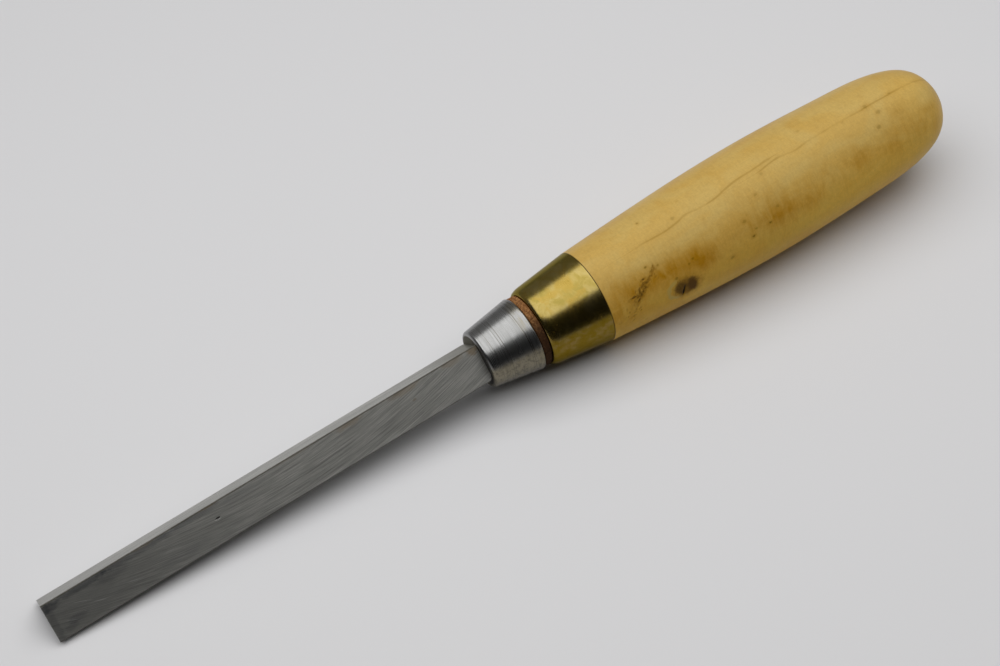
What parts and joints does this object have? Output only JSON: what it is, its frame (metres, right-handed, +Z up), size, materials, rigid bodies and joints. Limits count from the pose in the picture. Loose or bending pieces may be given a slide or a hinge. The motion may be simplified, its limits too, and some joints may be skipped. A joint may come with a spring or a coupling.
{
  "type": "v parting tool",
  "caption": "Woodcarver's V parting tool: straight blade of V section, conical bolster, leather washer, tapered brass ferrule and a swelling turned boxwood handle.",
  "frame": {"origin": "on the bench, midway between the cutting edge and the butt, with the tool lying at rest keel up", "axes": "+X from the cutting edge to the butt, along the bench; +Y across the blade; +Z up, the side of the V's keel. The tool's own axis rises from the cutting edge to the butt by about 3.1 degrees, as it lies"},
  "size_m": [0.2538, 0.0296, 0.0308],
  "materials": {
    "blade_steel": "ground, matt, with cross-hatched grinding lines and light stain",
    "bolster_steel": "bright turned, with fine lathe lines",
    "leather": "raw, cut edge, speckled",
    "brass": "polished, lightly tarnished",
    "boxwood": "satin varnish"
  },
  "bodies": {
    "root": {"blade": "blade_steel", "bolster": "bolster_steel", "leather_washer": "leather", "ferrule": "brass", "handle": "boxwood"}
  },
  "joints": []
}
